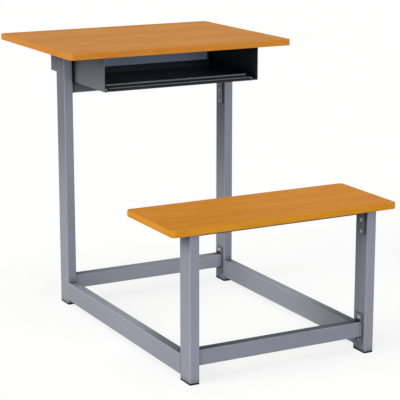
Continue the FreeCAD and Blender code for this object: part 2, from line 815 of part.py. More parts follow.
def box_stiffener():
    """The strip across the top of the back wall, inside the box."""
    reach = box_inside - s.band_end
    strip = doc.addObject("Part::Box", "box_back_stiffener")
    strip.Label = "box_back_stiffener"
    bind(strip, "Length", 2 * reach)
    bind(strip, "Width", s.sheet)
    bind(strip, "Height", s.band_height)
    top = desk_under - 2 * s.sheet - s.cap_gap
    place(strip, -reach, box_back - 2 * s.sheet, top - s.band_height)
    nodes.append(strip)


def rivet():
    """A rivet along +Z: a flat head under the foot flange and a shank through flange and floor."""
    radius, head = s.rivet_radius.value, s.rivet_head_radius.value
    depth, height = 2 * s.sheet.value, s.rivet_head_height.value
    low = Part.makeCone(head * 0.7, head, height, Vector(0, 0, -height))
    high = Part.makeCone(head, head * 0.7, height, Vector(0, 0, depth))
    return low.fuse(Part.makeCylinder(radius, depth)).fuse(high).removeSplitter()


def pan_screw(length, radius, head_radius, head_height):
    """A pan head screw along +Z, its head below the origin and its shank above."""
    radius, head_radius, head_height = radius.value, head_radius.value, head_height.value
    length = length.value
    head = Part.makeCone(0.75 * head_radius, head_radius, head_height, Vector(0, 0, -head_height))
    recess = Part.makeCone(0.45 * head_radius, 0.1 * radius, 0.7 * head_height)
    recess.translate(Vector(0, 0, -head_height))
    tip = 1.5 * radius
    shank = Part.makeCylinder(radius, length - tip)
    point = Part.makeCone(radius, 0.2 * radius, tip, Vector(0, 0, length - tip))
    return head.cut(recess).fuse(shank).fuse(point).removeSplitter()


def wood_screw(grip):
    """A wood screw through grip of steel and into its board."""
    return pan_screw(
        grip + s.screw_bite, s.screw_radius, s.screw_head_radius, s.screw_head_height
    )


def make_book_box():
    for side in (LEFT, RIGHT):
        box_side_panel(side)
    box_floor()
    box_back_wall()
    box_front_edge()
    box_stiffener()
    group("box_rivets", rivet(), [
        at(side * box_rail_screw_x, y, box_under) for side in (LEFT, RIGHT) for y in rivet_ys
    ])


def make_screws():
    head_under, seat_head_under = desk_under - s.head_plate, seat_under - s.head_plate
    flange_under = desk_under - s.sheet
    group("desktop_screws", wood_screw(s.head_plate),
          [at(x, y, head_under) for x, y in desk_head_screws])
    group("box_top_screws", wood_screw(s.sheet),
          [at(x, y, flange_under) for x, y in box_flange_screws])
    group("seat_screws", wood_screw(s.head_plate),
          [at(x, y, seat_head_under) for x, y in seat_head_screws])
    group("seat_bar_screws", wood_screw(s.seat_bar_thickness),
          [at(x, y, seat_bar_under) for x, y in seat_bar_screws])
    down = Rotation(Vector(1, 0, 0), 180)
    for label, length, y in (
        ("box_rail_screws", 2 * s.sheet + 4 * s.tube_wall, desk_post_front + s.post_deep / 2),
        ("box_corner_screws", s.corner_screw_length, box_front + s.corner_screw_setback),
    ):
        screw = pan_screw(length, s.screw_radius, s.screw_head_radius, s.screw_head_height)
        places = [at(side * box_rail_screw_x, y, box_floor_top, down) for side in (LEFT, RIGHT)]
        group(label, screw, places)


# --------------------------------------------------------------------------------------------
# Build, check and write
# --------------------------------------------------------------------------------------------


def check():
    """Stop on any object that failed and on any sub-part without a sound shape."""
    for item in doc.Objects:
        if {"Invalid", "Error"} & set(item.State):
            raise RuntimeError(f"{item.Label} failed: {item.State}")
    for node in nodes:
        if node.Shape.isNull() or not node.Shape.isValid() or not node.Shape.Solids:
            raise RuntimeError(f"{node.Label} has no sound shape")


def write():
    os.makedirs("parts", exist_ok=True)
    for node in nodes:
        node.Shape.exportStep(f"parts/{node.Label}.step")
        box = node.Shape.BoundBox
        print(
            f"{node.Label:34s} solids {len(node.Shape.Solids):2d}  "
            f"X {box.XMin:8.2f} {box.XMax:8.2f}  Y {box.YMin:8.2f} {box.YMax:8.2f}  "
            f"Z {box.ZMin:7.2f} {box.ZMax:7.2f}"
        )
    print(len(nodes), "nodes")


make_boards()
for each_side in (LEFT, RIGHT):
    make_side_frame(each_side)
make_cross_rails()
make_frame_fasteners()
make_book_box()
make_screws()
doc.recompute()
check()
write()
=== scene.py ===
"""School desk with a joined bench, dressed and lit for a studio picture.

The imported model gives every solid. This file gives each one its finish, rounds the edges of sheet
and plate a little, adds the weld beads that join the frame, and sets the floor, the lamps and the
camera. All lengths are in metres, +X to the sitter's right, +Y from the bench to the desk, +Z up.
"""

from __future__ import annotations

import logging
import math
from dataclasses import dataclass, field, replace
from enum import Enum
from typing import Mapping, Optional, Sequence, Union

import bmesh
import bpy
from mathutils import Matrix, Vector

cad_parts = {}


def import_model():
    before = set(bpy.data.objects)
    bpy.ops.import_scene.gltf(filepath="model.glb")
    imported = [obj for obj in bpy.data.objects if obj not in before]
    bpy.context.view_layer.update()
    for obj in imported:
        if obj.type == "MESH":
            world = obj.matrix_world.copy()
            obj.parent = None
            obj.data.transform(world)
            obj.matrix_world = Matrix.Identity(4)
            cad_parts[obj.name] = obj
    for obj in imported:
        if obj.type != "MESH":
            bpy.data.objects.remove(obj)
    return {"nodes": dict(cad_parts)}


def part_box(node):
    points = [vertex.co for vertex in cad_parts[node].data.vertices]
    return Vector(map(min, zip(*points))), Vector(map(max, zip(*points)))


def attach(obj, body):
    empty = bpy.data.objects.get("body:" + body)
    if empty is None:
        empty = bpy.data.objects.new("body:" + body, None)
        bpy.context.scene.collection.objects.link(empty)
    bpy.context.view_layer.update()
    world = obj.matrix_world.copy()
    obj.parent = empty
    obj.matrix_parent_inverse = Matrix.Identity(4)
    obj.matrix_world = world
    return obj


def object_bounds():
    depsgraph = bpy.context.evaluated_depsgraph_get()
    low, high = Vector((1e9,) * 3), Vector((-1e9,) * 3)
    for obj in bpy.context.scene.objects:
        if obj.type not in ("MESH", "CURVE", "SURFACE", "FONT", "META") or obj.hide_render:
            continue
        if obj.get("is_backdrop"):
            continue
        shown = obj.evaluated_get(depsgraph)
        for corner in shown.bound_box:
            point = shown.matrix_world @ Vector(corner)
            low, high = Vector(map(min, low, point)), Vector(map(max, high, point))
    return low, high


log = logging.getLogger("school_desk")

Colour = tuple[float, float, float]
Point = tuple[float, float, float]
Line = tuple[Point, Point]
Span = tuple[float, float]

WHITE: Colour = (1.0, 1.0, 1.0)


# ---------------------------------------------------------------------------------------------
# Shader building
# ---------------------------------------------------------------------------------------------

# Rays that each spot sends out to find how closed in it is.
OCCLUSION_RAYS = 12
# How far the largest part of a surface's direction falls short of 1, from flat to rounded.
ROUNDING_TILT: Span = (0.03, 0.2)


def linear(red: int, green: int, blue: int) -> Colour:
    """Turn a display colour of 0 to 255 into linear values, by the sRGB curve.

    Args:
        red: Red, as displayed.
        green: Green, as displayed.
        blue: Blue, as displayed.

    Returns:
        The same colour as three linear numbers.
    """

    def channel(value: int) -> float:
        """Linearise one channel."""
        share = value / 255
        return share / 12.92 if share <= 0.04045 else ((share + 0.055) / 1.055) ** 2.4

    return channel(red), channel(green), channel(blue)


class Wire:
    """A value socket that takes part in Python expressions."""

    def __init__(self, recipe: "Recipe", socket: bpy.types.NodeSocket) -> None:
        """Wrap an output socket of the recipe's tree."""
        self.recipe = recipe
        self.socket = socket

    def maths(self, operation: str, *others: "Feed") -> "Wire":
        """Add a Math node with this value first."""
        return self.recipe.maths(operation, self, *others)

    def __add__(self, other: "Feed") -> "Wire":
        """Add a value or number."""
        return self.maths("ADD", other)

    __radd__ = __add__

    def __sub__(self, other: "Feed") -> "Wire":
        """Subtract a value or number."""
        return self.maths("SUBTRACT", other)

    def __rsub__(self, other: "Feed") -> "Wire":
        """Subtract this value from a number."""
        return self.recipe.maths("SUBTRACT", other, self)

    def __mul__(self, other: "Feed") -> "Wire":
        """Multiply by a value or number."""
        return self.maths("MULTIPLY", other)

    __rmul__ = __mul__

    def __abs__(self) -> "Wire":
        """Drop the sign."""
        return self.maths("ABSOLUTE")

    def most(self, other: "Feed") -> "Wire":
        """Take the larger of two values."""
        return self.maths("MAXIMUM", other)

    def swing(self, width: float) -> "Wire":
        """Turn a noise of 0 to 1 into one about 0, as wide as told."""
        return (self - 0.5) * width

    def between(self, low: float, high: float) -> "Wire":
        """Rise smoothly from 0 at low to 1 at high.

        Args:
            low: The value that gives 0.
            high: The value that gives 1.

        Returns:
            The smooth step.
        """
        settings = {"interpolation_type": "SMOOTHSTEP"}
        feeds = {"Value": self, "From Min": low, "From Max": high}
        return self.recipe.node("ShaderNodeMapRange", settings, feeds)["Result"]


Feed = Union[Wire, float, int, Sequence[float]]


class Fitting:
    """A shader node whose outputs are read by name."""

    def __init__(self, recipe: "Recipe", node: bpy.types.Node) -> None:
        """Wrap a node of the recipe's tree."""
        self.recipe = recipe
        self.node = node

    def __getitem__(self, name: str) -> Wire:
        """Give the enabled output of a name.

        Args:
            name: The output's name.

        Returns:
            The output.

        Raises:
            KeyError: If the node has no such output.
        """
        for socket in self.node.outputs:
            if socket.name == name and socket.enabled:
                return Wire(self.recipe, socket)
        raise KeyError(f"{self.node.bl_idname} has no output {name}")


class Recipe:
    """The node tree of one finish or of the world."""

    def __init__(self, tree: bpy.types.NodeTree) -> None:
        """Empty a tree and start from it."""
        self.tree = tree
        tree.nodes.clear()

    def node(
        self,
        kind: str,
        settings: Optional[Mapping[str, object]] = None,
        feeds: Optional[Mapping[Union[str, int], Feed]] = None,
    ) -> Fitting:
        """Add a node, choose its settings, then give its inputs.

        Args:
            kind: The node's type.
            settings: Its own settings. The key "stops" fills a ramp with (place, colour) pairs.
            feeds: Input name or number to a value or a link.

        Returns:
            The node, with its outputs by name.
        """
        node = self.tree.nodes.new(kind)
        for name, value in (settings or {}).items():
            if name == "stops":
                self._fill_ramp(node.color_ramp, value)
            else:
                setattr(node, name, value)
        for name, value in (feeds or {}).items():
            self._feed(self._input(node, name), value)
        return Fitting(self, node)

    @staticmethod
    def _fill_ramp(ramp: bpy.types.ColorRamp, stops: Sequence[tuple[float, Colour]]) -> None:
        """Set a ramp's stops.

        Args:
            ramp: The ramp, which has two stops at first.
            stops: Each stop's place and colour, at least two.
        """
        for place, _ in stops[2:]:
            ramp.elements.new(place)
        for element, (place, colour) in zip(ramp.elements, stops):
            element.position = place
            element.color = (*colour, 1.0)

    @staticmethod
    def _input(node: bpy.types.Node, name: Union[str, int]) -> bpy.types.NodeSocket:
        """Find an input of a node.

        Args:
            node: The node.
            name: The input's number, or the name of an enabled one.

        Returns:
            The input.
        """
        if isinstance(name, int):
            return node.inputs[name]
        return next(s for s in node.inputs if s.name == name and s.enabled)

    def _feed(self, socket: bpy.types.NodeSocket, value: Feed) -> None:
        """Link a wire to a socket, or set its own value.

        Args:
            socket: The input.
            value: A wire, a number or a row of numbers.
        """
        if isinstance(value, Wire):
            self.tree.links.new(value.socket, socket)
        elif isinstance(value, (int, float)):
            socket.default_value = value
        else:
            room = len(socket.default_value)
            socket.default_value = (*value, 1.0)[:room]

    def maths(self, operation: str, *values: Feed) -> Wire:
        """Add a Math node of that operation with these values."""
        feeds = dict(enumerate(values))
        return self.node("ShaderNodeMath", {"operation": operation}, feeds)["Value"]

    def blend(self, share: Feed, first: Feed, second: Feed) -> Wire:
        """Mix two colours, from the first at a share of 0 to the second at 1."""
        feeds = {"Factor": share, "A": first, "B": second}
        return self.node("ShaderNodeMix", {"data_type": "RGBA"}, feeds)["Result"]

    def spot(self) -> Wire:
        """Give the place on the piece."""
        return self.node("ShaderNodeTexCoord")["Object"]

    def place(self) -> Fitting:
        """Give the place on the piece, split into X, Y and Z."""
        return self.node("ShaderNodeSeparateXYZ", feeds={0: self.spot()})

    def facing(self) -> Fitting:
        """Give the surface's direction on the piece, split into X, Y and Z."""
        way = self.node("ShaderNodeTexCoord")["Normal"]
        return self.node("ShaderNodeSeparateXYZ", feeds={0: way})

    def joined(self, x: Feed, y: Feed, z: Feed) -> Wire:
        """Join three values into a place."""
        return self.node("ShaderNodeCombineXYZ", feeds={0: x, 1: y, 2: z})["Vector"]

    def stretched(self, at: Wire, factors: Point) -> Wire:
        """Multiply a place's X, Y and Z by a factor each."""
        settings = {"operation": "MULTIPLY"}
        return self.node("ShaderNodeVectorMath", settings, {0: at, 1: factors})["Vector"]

    def noise(self, at: Wire, waves: float, octaves: float) -> Wire:
        """Add a noise of 0 to 1, with that many waves to a metre and octaves on top."""
        feeds = {"Vector": at, "Scale": waves, "Detail": octaves}
        return self.node("ShaderNodeTexNoise", feeds=feeds)["Fac"]

    def relief(self, height: Feed, depth: float, strength: float) -> Wire:
        """Bump the surface by a height of 0 to 1 that is worth a depth in metres."""
        feeds = {"Height": height, "Distance": depth, "Strength": strength}
        return self.node("ShaderNodeBump", feeds=feeds)["Normal"]

    def crevice(self, reach: float, low: float, high: float) -> Wire:
        """Tell how deep a spot lies in a corner, gap or hollow.

        Args:
            reach: How far neighbours count, in metres.
            low: The closed-in share that still counts as open.
            high: The closed-in share that counts as deep.

        Returns:
            0 in the open, 1 deep inside.
        """
        settings = {"samples": OCCLUSION_RAYS}
        fitting = self.node("ShaderNodeAmbientOcclusion", settings, {"Distance": reach})
        return (1.0 - fitting["AO"]).between(low, high)

    def rounded(self) -> Wire:
        """Tell where a piece is rounded instead of flat.

        Returns:
            0 on faces square to an axis, 1 on the roundings between them.
        """
        way = self.facing()
        flat = abs(way["X"]).most(abs(way["Y"])).most(abs(way["Z"]))
        return (1.0 - flat).between(*ROUNDING_TILT)

    def surface(self, **feeds: Feed) -> None:
        """Add the surface shader and the output.

        Args:
            feeds: Inputs of the surface shader, with _ for each space of their names.
        """
        named = {name.replace("_", " "): value for name, value in feeds.items()}
        shader = self.node("ShaderNodeBsdfPrincipled", feeds=named)["BSDF"]
        self.node("ShaderNodeOutputMaterial", feeds={"Surface": shader})


# ---------------------------------------------------------------------------------------------
# Finishes
# ---------------------------------------------------------------------------------------------

# How squarely a face looks along an axis: where that starts to count, and where it counts fully.
SQUARE_ON: Span = (0.8, 0.95)
ROUGHLY_ON: Span = (0.5, 0.9)
EDGE_ON: Span = (0.3, 0.7)
UPPER_SIDE: Span = (0.05, 0.7)
# Heights above the floor over which the painted shade and the painted light on the frame change.
POST_SIDE_SHADE_HEIGHT: Span = (0.22, 0.52)
FOOT_LIGHT_HEIGHT: Span = (0.08, 0.6)
HOLLOW_FADE = 0.1
# These two pick out the walls that take painted shade because they face the middle.
# A face's direction along X times its place along X times this is about 1 on a wall that faces the
# middle from 0.17 m away, and below 0 on one that faces outwards.
INWARD_GAIN = -6.0
INWARD: Span = (0.4, 0.9)


class Grain(Enum):
    """The way in which wood grain runs on a piece."""

    ALONG_WIDTH = "along the board's width"
    ROUND_THE_EDGE = "round the board's edge"


@dataclass(frozen=True)
class Layer:
    """One layer of a finish's pattern: a noise, and how it shows.

    The layer starts to show where its noise passes low and shows fully above high, where it takes
    that share of the colour. Waves are counted to the metre, times the stretch along X, Y and Z
    where there is one.
    """

    waves: float
    octaves: float = 2.0
    low: float = 0.0
    high: float = 1.0
    share: float = 1.0
    stretch: Optional[Point] = None

    def noise(self, recipe: Recipe, at: Wire) -> Wire:
        """Add the layer's noise.

        Args:
            recipe: The recipe that it is added to.
            at: The place where it is read.

        Returns:
            A noise of 0 to 1.
        """
        if self.stretch:
            at = recipe.stretched(at, self.stretch)
        return recipe.noise(at, self.waves, self.octaves)

    def shown(self, noise: Wire) -> Wire:
        """Tell how strongly the layer shows for its noise."""
        return noise.between(self.low, self.high) * self.share


@dataclass(frozen=True)
class Finish:
    """What all finishes have: a name, and one material that their pieces share."""

    name: str

    def material(self) -> bpy.types.Material:
        """Give the finish's material, making it the first time.

        Returns:
            The material.
        """
        found = bpy.data.materials.get(self.name)
        if found is None:
            found = bpy.data.materials.new(self.name)
            found.use_nodes = True
            self.mix(Recipe(found.node_tree))
        return found

    def mix(self, recipe: Recipe) -> None:
        """Fill the material's tree.

        Args:
            recipe: The empty tree.
        """
        raise NotImplementedError


@dataclass(frozen=True)
class BeechDecor(Finish):
    """Printed beech: soft lengthwise streaks, short dark flecks and a satin skin.

    The crown is the colour of an edge's upper rounding. The layers are stretched along the grain,
    across it and into the wood, and the grain sways over sway_width metres as it runs.
    """

    colour: Colour = linear(193, 126, 40)
    streak: Colour = linear(183, 109, 27)
    pale: Colour = linear(202, 138, 52)
    fleck: Colour = linear(162, 90, 22)
    crown: Optional[Colour] = None
    grain: Grain = Grain.ALONG_WIDTH
    edge_depth: float = 0.5
    sway: Layer = Layer(waves=3.0, stretch=(1.3, 2.0, 1.0))
    sway_width: float = 0.03
    streaks: Layer = Layer(
        waves=2.6, octaves=4.0, low=0.36, high=0.66, share=0.55, stretch=(0.9, 26.0, 26.0)
    )
    mottle: Layer = Layer(
        waves=1.0, octaves=3.0, low=0.36, high=0.64, share=0.45, stretch=(7.0, 15.0, 15.0)
    )
    bands: Layer = Layer(waves=1.7, low=0.42, high=0.68, share=0.35, stretch=(0.35, 7.0, 7.0))
    pores: Layer = Layer(waves=1.0, low=0.5, high=0.68, share=0.45, stretch=(13.0, 120.0, 120.0))
    fine: Layer = Layer(waves=1.5, low=0.45, high=0.75, share=0.3, stretch=(9.0, 330.0, 330.0))
    dashes: Layer = Layer(
        waves=1.0, low=0.62, high=0.72, share=0.35, stretch=(55.0, 620.0, 620.0)
    )
    roughness: float = 0.5
    gloss: float = 0.03

    def mix(self, recipe: Recipe) -> None:
        """Fill the material's tree.

        Args:
            recipe: The empty tree.
        """
        wood = self._wood(recipe)
        streaks = self.streaks.noise(recipe, wood)
        mottle = self.mottle.noise(recipe, wood)
        fine = self.fine.noise(recipe, wood)
        dashes = self.dashes.noise(recipe, wood)
        flecks = dashes.between(self.dashes.low, self.dashes.high)
        tone = self.streaks.shown(streaks) + self.mottle.shown(mottle)
        colour = recipe.blend(tone, self.pale, self.colour)
        for layer in (self.bands, self.pores):
            colour = recipe.blend(layer.shown(layer.noise(recipe, wood)), colour, self.streak)
        colour = recipe.blend(self.fine.shown(fine), colour, self.streak)
        colour = recipe.blend(flecks * self.dashes.share, colour, self.fleck)
        if self.crown:
            upper = recipe.facing()["Z"].between(*UPPER_SIDE)
            colour = recipe.blend(upper, colour, self.crown)
        recipe.surface(
            Base_Color=colour,
            Roughness=self.roughness + streaks.swing(0.12) + flecks * 0.1,
            Normal=recipe.relief(fine * 0.5 + flecks * -0.5, depth=0.00012, strength=0.3),
            Specular_IOR_Level=self.gloss,
        )

    def _wood(self, recipe: Recipe) -> Wire:
        """Find the place in the wood.

        Args:
            recipe: The tree under construction.

        Returns:
            The place along the grain, across it and into the wood.
        """
        at = recipe.place()
        if self.grain is Grain.ALONG_WIDTH:
            along, across, depth = at["X"], at["Y"], at["Z"]
        else:
            along, across, depth = at["X"] + at["Y"], at["Z"], at["Z"] * self.edge_depth
        sway = self.sway.noise(recipe, recipe.joined(along, across, depth))
        return recipe.joined(along, across + sway.swing(self.sway_width), depth)


@dataclass(frozen=True)
class PowderCoat(Finish):
    """Baked powder paint: a fine orange-peel skin, with wear and a painted highlight on the
    roundings, painted shade in the joints.

    Each reach is how far neighbours count, in metres. Painted shade darkens tight corners, in the
    colour for tight corners, and larger spaces, in the hollow colour: the shade in larger spaces
    starts at hollow_over above the floor, and hollow_front is its share on front and back faces.
    Six painted
    effects are left out at 0: the shade in larger spaces, painted shade on walls that face the
    middle, painted shade on upper faces under a board, painted shade on side faces that grows with
    height, painted light that makes the paint paler near the floor, and a painted highlight on the
    thin edges of a plate that faces sideways.
    """

    colour: Colour = linear(134, 137, 149)
    # Paler paint for specks and wear; it also gives the painted highlight on roundings and plate
    # edges and the painted light near the floor.
    edge: Colour = linear(160, 163, 173)
    shade: Colour = linear(124, 128, 141)
    # Painted shade in tight corners: its colour, how far it reaches and how strongly it shows.
    joint: Colour = linear(44, 47, 54)
    joint_reach: float = 0.012
    joint_share: float = 0.9
    # Painted highlight on the thin edges of a plate that faces sideways.
    rim: float = 0.0
    # Colour of the painted shade in hollows, on inner walls, under boards and on the post sides;
    # then how far the shade in hollows reaches, the height where it starts and its share on front
    # and back faces.
    hollow: Colour = linear(12, 15, 19)
    hollow_reach: float = 0.0
    hollow_over: float = 0.0
    hollow_front: float = 1.0
    # Painted shade on walls that face the middle, on upper faces under a board and on side faces
    # with height, then painted light near the floor.
    lining: float = 0.0
    canopy_reach: float = 0.0
    post_side: float = 0.0
    pale_foot: float = 0.0
    peel: Layer = Layer(waves=900.0)
    cloud: Layer = Layer(waves=5.0, octaves=3.0, low=0.35, high=0.7, share=0.5)
    speck: Layer = Layer(waves=2600.0, octaves=1.0, low=0.45, high=0.8, share=0.2)
    rub: Layer = Layer(waves=60.0, octaves=3.0, low=0.4, high=0.7, share=0.45)
    # Share of the edge colour that every rounding takes as a painted highlight, before wear.
    least_worn: float = 0.45
    roughness: float = 0.5
    gloss: float = 0.15

    def mix(self, recipe: Recipe) -> None:
        """Fill the material's tree.

        Args:
            recipe: The empty tree.
        """
        spot, way = recipe.spot(), recipe.facing()
        peel, cloud = self.peel.noise(recipe, spot), self.cloud.noise(recipe, spot)
        speck = self.speck.noise(recipe, spot)
        colour = recipe.blend(self.cloud.shown(cloud), self.colour, self.shade)
        colour = recipe.blend(self.speck.shown(speck), colour, self.edge)
        colour = recipe.blend(self._worn(recipe, spot, way), colour, self.edge)
        for share, tint in self._tints(recipe, way):
            colour = recipe.blend(share, colour, tint)
        recipe.surface(
            Base_Color=colour,
            Metallic=0.05,
            Roughness=self.roughness + cloud.swing(0.1) + peel.swing(0.1),
            Normal=recipe.relief(peel, depth=0.00012, strength=0.25),
            Specular_IOR_Level=self.gloss,
        )

    def _worn(self, recipe: Recipe, spot: Wire, way: Fitting) -> Wire:
        """Find where the paint shows wear, and where roundings and plate edges take a painted
        highlight.

        Args:
            recipe: The tree under construction.
            spot: The place on the piece.
            way: The surface's direction.

        Returns:
            The share of the edge colour there.
        """
        rub = self.rub.shown(self.rub.noise(recipe, spot))
        # Every rounding takes a painted highlight, with random wear on top; thin plate edges take a
        # painted highlight too.
        wear_and_highlight = recipe.rounded() * (self.least_worn + rub)
        if self.rim:
            thin = 1.0 - abs(way["X"]).between(*EDGE_ON)
            wear_and_highlight = wear_and_highlight.most(thin * self.rim)
        return wear_and_highlight

    def _tints(self, recipe: Recipe, way: Fitting) -> list[tuple[Wire, Colour]]:
        """Find the painted shade and painted light that lie over the paint.

        Args:
            recipe: The tree under construction.
            way: The surface's direction.

        Returns:
            How strongly each tint shows, and its colour, in the order in which they lie.
        """
        at = recipe.place()
        height = at["Z"]
        tints = []
        # Painted shade on side faces, growing with height.
        if self.post_side:
            sideways = abs(way["X"]).between(*SQUARE_ON)
            raised = height.between(*POST_SIDE_SHADE_HEIGHT)
            tints.append((sideways * raised * self.post_side, self.hollow))
        # Painted light near the floor, in the edge colour.
        if self.pale_foot:
            low = 1.0 - height.between(*FOOT_LIGHT_HEIGHT)
            tints.append((low * self.pale_foot, self.edge))
        # Painted shade in hollows, where neighbours close a spot in.
        if self.hollow_reach:
            deep = recipe.crevice(self.hollow_reach, low=0.1, high=0.65)
            clear = height.between(self.hollow_over, self.hollow_over + HOLLOW_FADE)
            front = abs(way["Y"]).between(*ROUGHLY_ON)
            kept = 1.0 - front * (1.0 - self.hollow_front)
            tints.append((deep * clear * kept, self.hollow))
        # Painted shade on walls that face the middle.
        if self.lining:
            inward = (way["X"] * at["X"] * INWARD_GAIN).between(*INWARD)
            tints.append((inward * self.lining, self.hollow))
        # Painted shade on upper faces with a board above them.
        if self.canopy_reach:
            upward = way["Z"].between(*SQUARE_ON)
            covered = recipe.crevice(self.canopy_reach, low=0.05, high=0.38)
            tints.append((upward * covered, self.hollow))
        # Painted shade in tight corners.
        tight = recipe.crevice(self.joint_reach, low=0.04, high=0.32)
        tints.append((tight * self.joint_share, self.joint))
        return tints


@dataclass(frozen=True)
class Chipboard(Finish):
    """Raw chipboard: pressed chips of three browns, counted to the metre."""

    chips: float = 420.0
    dark: Colour = linear(120, 88, 56)
    middle: Colour = linear(176, 142, 98)
    pale: Colour = linear(214, 184, 138)

    def mix(self, recipe: Recipe) -> None:
        """Fill the material's tree.

        Args:
            recipe: The empty tree.
        """
        feeds = {"Vector": recipe.spot(), "Scale": self.chips}
        chips = recipe.node("ShaderNodeTexVoronoi", feeds=feeds)
        tone = recipe.node("ShaderNodeSeparateColor", feeds={0: chips["Color"]})["Red"]
        stops = ((0.0, self.dark), (0.5, self.middle), (1.0, self.pale))
        recipe.surface(
            Base_Color=recipe.node("ShaderNodeValToRGB", {"stops": stops}, {"Fac": tone})["Color"],
            Roughness=0.8 + tone.swing(0.15),
            Normal=recipe.relief(chips["Distance"], depth=0.0006, strength=0.6),
        )


@dataclass(frozen=True)
class BackingSheet(Finish):
    """Balancing sheet under the boards: plain brown paper laminate with a faint fibre."""

    colour: Colour = linear(150, 118, 84)
    fibre: Colour = linear(126, 98, 70)
    fibres: Layer = Layer(
        waves=2.0, octaves=3.0, low=0.4, high=0.7, share=0.6, stretch=(30.0, 260.0, 1.0)
    )
    cloud: Layer = Layer(waves=9.0, octaves=3.0)

    def mix(self, recipe: Recipe) -> None:
        """Fill the material's tree.

        Args:
            recipe: The empty tree.
        """
        spot = recipe.spot()
        fibres, cloud = self.fibres.noise(recipe, spot), self.cloud.noise(recipe, spot)
        recipe.surface(
            Base_Color=recipe.blend(self.fibres.shown(fibres), self.colour, self.fibre),
            Roughness=0.6 + cloud.swing(0.2),
            Normal=recipe.relief(fibres, depth=0.0002, strength=0.3),
        )


@dataclass(frozen=True)
class MouldedPlastic(Finish):
    """Black moulded plastic with a fine spark texture and scuffed edges."""

    colour: Colour = linear(14, 14, 16)
    scuff: Colour = linear(44, 44, 47)
    spark: Layer = Layer(waves=1800.0)
    rub: Layer = Layer(waves=160.0, octaves=3.0, low=0.5, high=0.75, share=0.8)

    def mix(self, recipe: Recipe) -> None:
        """Fill the material's tree.

        Args:
            recipe: The empty tree.
        """
        spot = recipe.spot()
        spark = self.spark.noise(recipe, spot)
        scuffed = recipe.rounded() * self.rub.shown(self.rub.noise(recipe, spot))
        recipe.surface(
            Base_Color=recipe.blend(scuffed, self.colour, self.scuff),
            Roughness=0.6 + spark.swing(0.2),
            Normal=recipe.relief(spark, depth=0.00015, strength=0.35),
            Specular_IOR_Level=0.25,
        )


@dataclass(frozen=True)
class ZincPlate(Finish):
    """Zinc-plated steel: faintly blue, with a clouded, lightly scratched skin and painted shade in
    recesses.
    """

    colour: Colour = linear(170, 174, 180)
    dull: Colour = linear(132, 136, 143)
    # Painted shade in recesses: its colour and how far neighbours count.
    recess: Colour = linear(4, 4, 6)
    recess_reach: float = 0.009
    cloud: Layer = Layer(waves=350.0, octaves=3.0, low=0.35, high=0.7)
    scratch: Layer = Layer(waves=2400.0)
    roughness: float = 0.38

    def mix(self, recipe: Recipe) -> None:
        """Fill the material's tree.

        Args:
            recipe: The empty tree.
        """
        spot = recipe.spot()
        cloud, scratch = self.cloud.noise(recipe, spot), self.scratch.noise(recipe, spot)
        # Painted shade in sockets and round the heads.
        recess = recipe.crevice(self.recess_reach, low=0.2, high=0.5)
        colour = recipe.blend(self.cloud.shown(cloud), self.colour, self.dull)
        recipe.surface(
            Base_Color=recipe.blend(recess, colour, self.recess),
            Metallic=0.5,
            Roughness=self.roughness + cloud.swing(0.2) + recess * 0.3,
            Normal=recipe.relief(scratch, depth=0.00005, strength=0.3),
        )


DEEP_SHADE = linear(40, 50, 58)
SEAM_SHADE = linear(30, 34, 41)

DESKTOP_DECOR = BeechDecor("desktop_beech")
DESKTOP_EDGE = BeechDecor(
    "desktop_beech_edge",
    colour=linear(208, 139, 50),
    streak=linear(197, 121, 41),
    pale=linear(216, 151, 64),
    fleck=linear(172, 102, 32),
    crown=linear(196, 130, 46),
    grain=Grain.ROUND_THE_EDGE,
    roughness=0.45,
)
SEAT_DECOR = BeechDecor(
    "seat_beech",
    colour=linear(204, 131, 33),
    streak=linear(194, 116, 24),
    pale=linear(212, 141, 43),
    fleck=linear(172, 98, 18),
)
SEAT_LIPPING = BeechDecor(
    "seat_beech_lipping",
    colour=linear(204, 138, 32),
    streak=linear(193, 122, 24),
    pale=linear(211, 147, 42),
    fleck=linear(170, 102, 18),
    crown=linear(205, 134, 36),
    grain=Grain.ROUND_THE_EDGE,
    roughness=0.45,
)
# The frame paint, with painted shade in its joints, in hollows, on upper faces under the boards and
# on the post sides, and painted light near the floor.
FRAME_COAT = PowderCoat(
    "frame_powder_coat",
    joint=DEEP_SHADE,
    joint_reach=0.02,
    joint_share=0.3,
    hollow=DEEP_SHADE,
    hollow_reach=0.2,
    hollow_over=0.11,
    hollow_front=0.0,
    canopy_reach=0.36,
    post_side=0.45,
    pale_foot=0.34,
)
# Copies of the frame paint with more and with less painted light near the floor.
FOOTREST_LIT_COAT = replace(FRAME_COAT, name="footrest_lit_powder_coat", pale_foot=0.95)
BENCH_RAIL_SHADED_COAT = replace(FRAME_COAT, name="bench_rail_shaded_powder_coat", pale_foot=0.1)
# Painted shade in the joints and in hollows.
RAIL_COAT = PowderCoat(
    "upper_rail_powder_coat",
    joint=SEAM_SHADE,
    hollow=DEEP_SHADE,
    hollow_reach=0.2,
)
# A darker copy of the frame paint for the bar under the seat, as painted shade, with painted shade
# in hollows.
BAR_SHADED_COAT = PowderCoat(
    "seat_bar_shaded_powder_coat",
    colour=linear(84, 88, 96),
    edge=linear(112, 116, 124),
    shade=linear(74, 78, 86),
    hollow=linear(10, 12, 14),
    hollow_reach=0.04,
)
# The end plates' paint: a paler edge colour for the painted highlight on their edges, and painted
# shade in corners and hollows.
PLATE_COAT = PowderCoat(
    "end_plate_powder_coat",
    edge=linear(176, 180, 190),
    joint=SEAM_SHADE,
    joint_reach=0.006,
    rim=0.9,
    hollow=DEEP_SHADE,
    hollow_reach=0.2,
    hollow_over=0.11,
)
